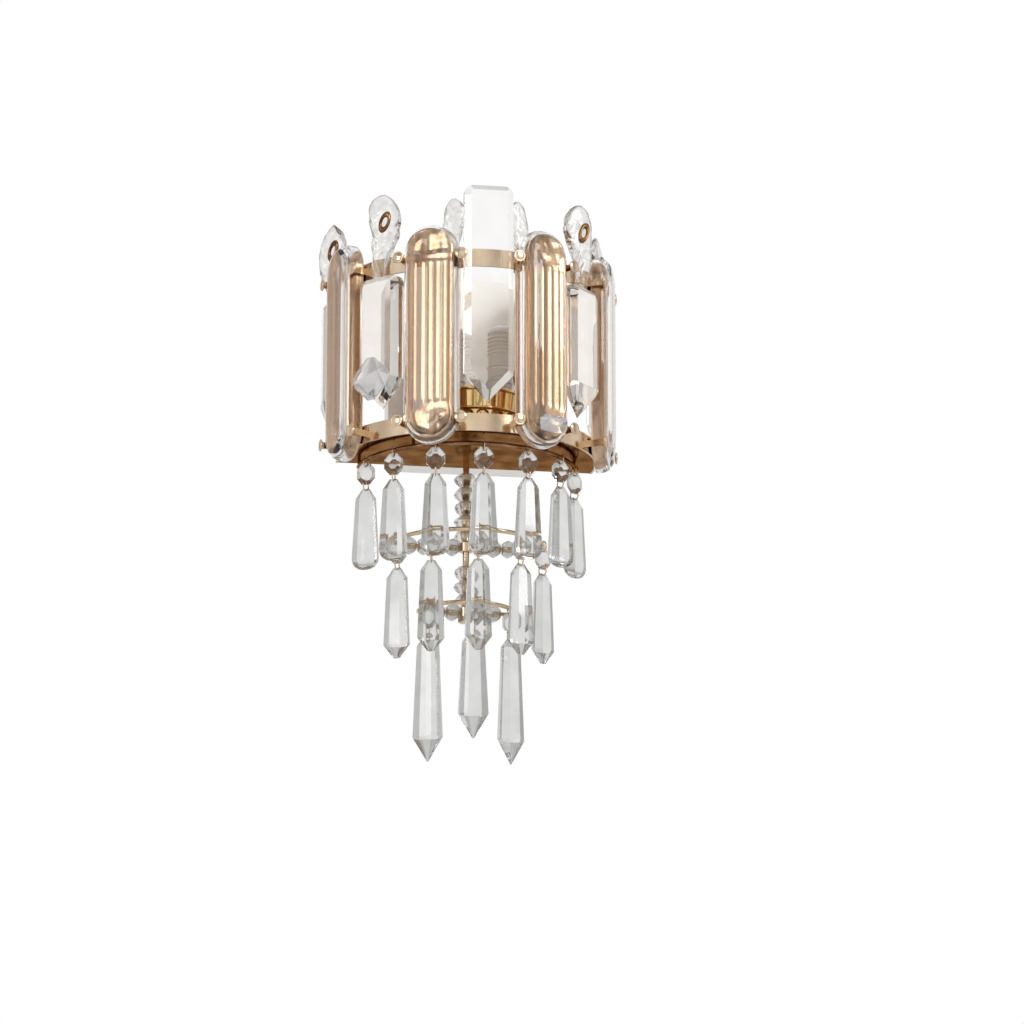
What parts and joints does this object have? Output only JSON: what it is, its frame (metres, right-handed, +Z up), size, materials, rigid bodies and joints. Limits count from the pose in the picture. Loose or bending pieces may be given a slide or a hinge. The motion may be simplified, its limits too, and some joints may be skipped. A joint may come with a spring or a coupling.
{
  "type": "crystal wall sconce",
  "caption": "Half-round wall light with clear and amber glass panels on a gilt frame and three tiers of hanging faceted crystal spears.",
  "frame": {"origin": "midway between the two fixing slots, on the wall face", "axes": "+Y into the wall, so the sconce stands out along -Y; +Z up; +X to the viewer's right"},
  "size_m": [0.2742, 0.1746, 0.5021],
  "materials": {
    "gilt": "polished champagne gold plate",
    "zinc_steel": "zinc plated",
    "clear_crystal": "polished cut crystal",
    "tinted_glass": "amber glass, mirrored at the back",
    "bulb_glass": "opal white",
    "ivory_ceramic": "glazed",
    "white_plastic": "moulded",
    "wire_sheath": "smooth sleeving"
  },
  "bodies": {
    "frame": {"wall_canopy": "gilt", "mounting_bar": "zinc_steel", "canopy_studs": "gilt", "terminal_block": "white_plastic", "upper_band": "gilt", "lower_band": "gilt", "frame_arms": "gilt", "base_tray": "gilt", "centre_stem": "gilt", "middle_hoop": "gilt", "lower_hoop": "gilt", "lamp_cup": "gilt", "lamp_holders": "ivory_ceramic", "bulbs": "bulb_glass", "feed_wires": "wire_sheath", "panel_clips": "gilt", "accent_crystals": "clear_crystal", "glass_cover_1": "clear_crystal", "glass_cover_2": "clear_crystal", "glass_cover_3": "clear_crystal", "glass_cover_4": "clear_crystal", "tinted_core_1": "tinted_glass", "tinted_core_2": "tinted_glass", "tinted_core_3": "tinted_glass", "tinted_core_4": "tinted_glass", "clear_panel_1": "clear_crystal", "clear_panel_2": "clear_crystal", "clear_panel_3": "clear_crystal", "clear_panel_4": "clear_crystal", "clear_panel_5": "clear_crystal"},
    "upper_drop_1": {"upper_bead_1": "clear_crystal", "upper_spear_1": "clear_crystal"},
    "upper_drop_2": {"upper_bead_2": "clear_crystal", "upper_spear_2": "clear_crystal"},
    "upper_drop_3": {"upper_bead_3": "clear_crystal", "upper_spear_3": "clear_crystal"},
    "upper_drop_4": {"upper_bead_4": "clear_crystal", "upper_spear_4": "clear_crystal"},
    "upper_drop_5": {"upper_bead_5": "clear_crystal", "upper_spear_5": "clear_crystal"},
    "upper_drop_6": {"upper_bead_6": "clear_crystal", "upper_spear_6": "clear_crystal"},
    "upper_drop_7": {"upper_bead_7": "clear_crystal", "upper_spear_7": "clear_crystal"},
    "middle_drop_1": {"middle_bead_1": "clear_crystal", "middle_spear_1": "clear_crystal"},
    "middle_drop_2": {"middle_bead_2": "clear_crystal", "middle_spear_2": "clear_crystal"},
    "middle_drop_3": {"middle_bead_3": "clear_crystal", "middle_spear_3": "clear_crystal"},
    "middle_drop_4": {"middle_bead_4": "clear_crystal", "middle_spear_4": "clear_crystal"},
    "middle_drop_5": {"middle_bead_5": "clear_crystal", "middle_spear_5": "clear_crystal"},
    "lower_drop_1": {"lower_bead_1": "clear_crystal", "lower_spear_1": "clear_crystal"},
    "lower_drop_2": {"lower_bead_2": "clear_crystal", "lower_spear_2": "clear_crystal"},
    "lower_drop_3": {"lower_bead_3": "clear_crystal", "lower_spear_3": "clear_crystal"}
  },
  "joints": [
    {"name": "upper_swing_1", "type": "hinge", "parent": "frame", "child": "upper_drop_1", "pos_m": [-0.09466, -0.05936, -0.094], "axis": [-0.2588, 0.9659, 0], "range_deg": [-5, 9]},
    {"name": "upper_swing_2", "type": "hinge", "parent": "frame", "child": "upper_drop_2", "pos_m": [-0.07507, -0.09699, -0.094], "axis": [-0.6428, 0.766, 0], "range_deg": [-5, 9]},
    {"name": "upper_swing_3", "type": "hinge", "parent": "frame", "child": "upper_drop_3", "pos_m": [-0.04142, -0.12282, -0.094], "axis": [-0.9063, 0.4226, 0], "range_deg": [-5, 9]},
    {"name": "upper_swing_4", "type": "hinge", "parent": "frame", "child": "upper_drop_4", "pos_m": [0, -0.132, -0.094], "axis": [-1, 0, 0], "range_deg": [-5, 9]},
    {"name": "upper_swing_5", "type": "hinge", "parent": "frame", "child": "upper_drop_5", "pos_m": [0.04142, -0.12282, -0.094], "axis": [-0.9063, -0.4226, 0], "range_deg": [-5, 9]},
    {"name": "upper_swing_6", "type": "hinge", "parent": "frame", "child": "upper_drop_6", "pos_m": [0.07507, -0.09699, -0.094], "axis": [-0.6428, -0.766, 0], "range_deg": [-5, 9]},
    {"name": "upper_swing_7", "type": "hinge", "parent": "frame", "child": "upper_drop_7", "pos_m": [0.09466, -0.05936, -0.094], "axis": [-0.2588, -0.9659, 0], "range_deg": [-5, 9]},
    {"name": "middle_swing_1", "type": "hinge", "parent": "frame", "child": "middle_drop_1", "pos_m": [-0.06578, -0.05794, -0.165], "axis": [-0.342, 0.9397, 0], "range_deg": [-5, 9]},
    {"name": "middle_swing_2", "type": "hinge", "parent": "frame", "child": "middle_drop_2", "pos_m": [-0.04015, -0.09134, -0.165], "axis": [-0.8192, 0.5736, 0], "range_deg": [-5, 9]},
    {"name": "middle_swing_3", "type": "hinge", "parent": "frame", "child": "middle_drop_3", "pos_m": [0, -0.104, -0.165], "axis": [-1, 0, 0], "range_deg": [-5, 9]},
    {"name": "middle_swing_4", "type": "hinge", "parent": "frame", "child": "middle_drop_4", "pos_m": [0.04015, -0.09134, -0.165], "axis": [-0.8192, -0.5736, 0], "range_deg": [-5, 9]},
    {"name": "middle_swing_5", "type": "hinge", "parent": "frame", "child": "middle_drop_5", "pos_m": [0.06578, -0.05794, -0.165], "axis": [-0.342, -0.9397, 0], "range_deg": [-5, 9]},
    {"name": "lower_swing_1", "type": "hinge", "parent": "frame", "child": "lower_drop_1", "pos_m": [-0.03724, -0.0555, -0.225], "axis": [-0.5, 0.866, 0], "range_deg": [-5, 9]},
    {"name": "lower_swing_2", "type": "hinge", "parent": "frame", "child": "lower_drop_2", "pos_m": [0, -0.077, -0.225], "axis": [-1, 0, 0], "range_deg": [-5, 9]},
    {"name": "lower_swing_3", "type": "hinge", "parent": "frame", "child": "lower_drop_3", "pos_m": [0.03724, -0.0555, -0.225], "axis": [-0.5, -0.866, 0], "range_deg": [-5, 9]}
  ]
}
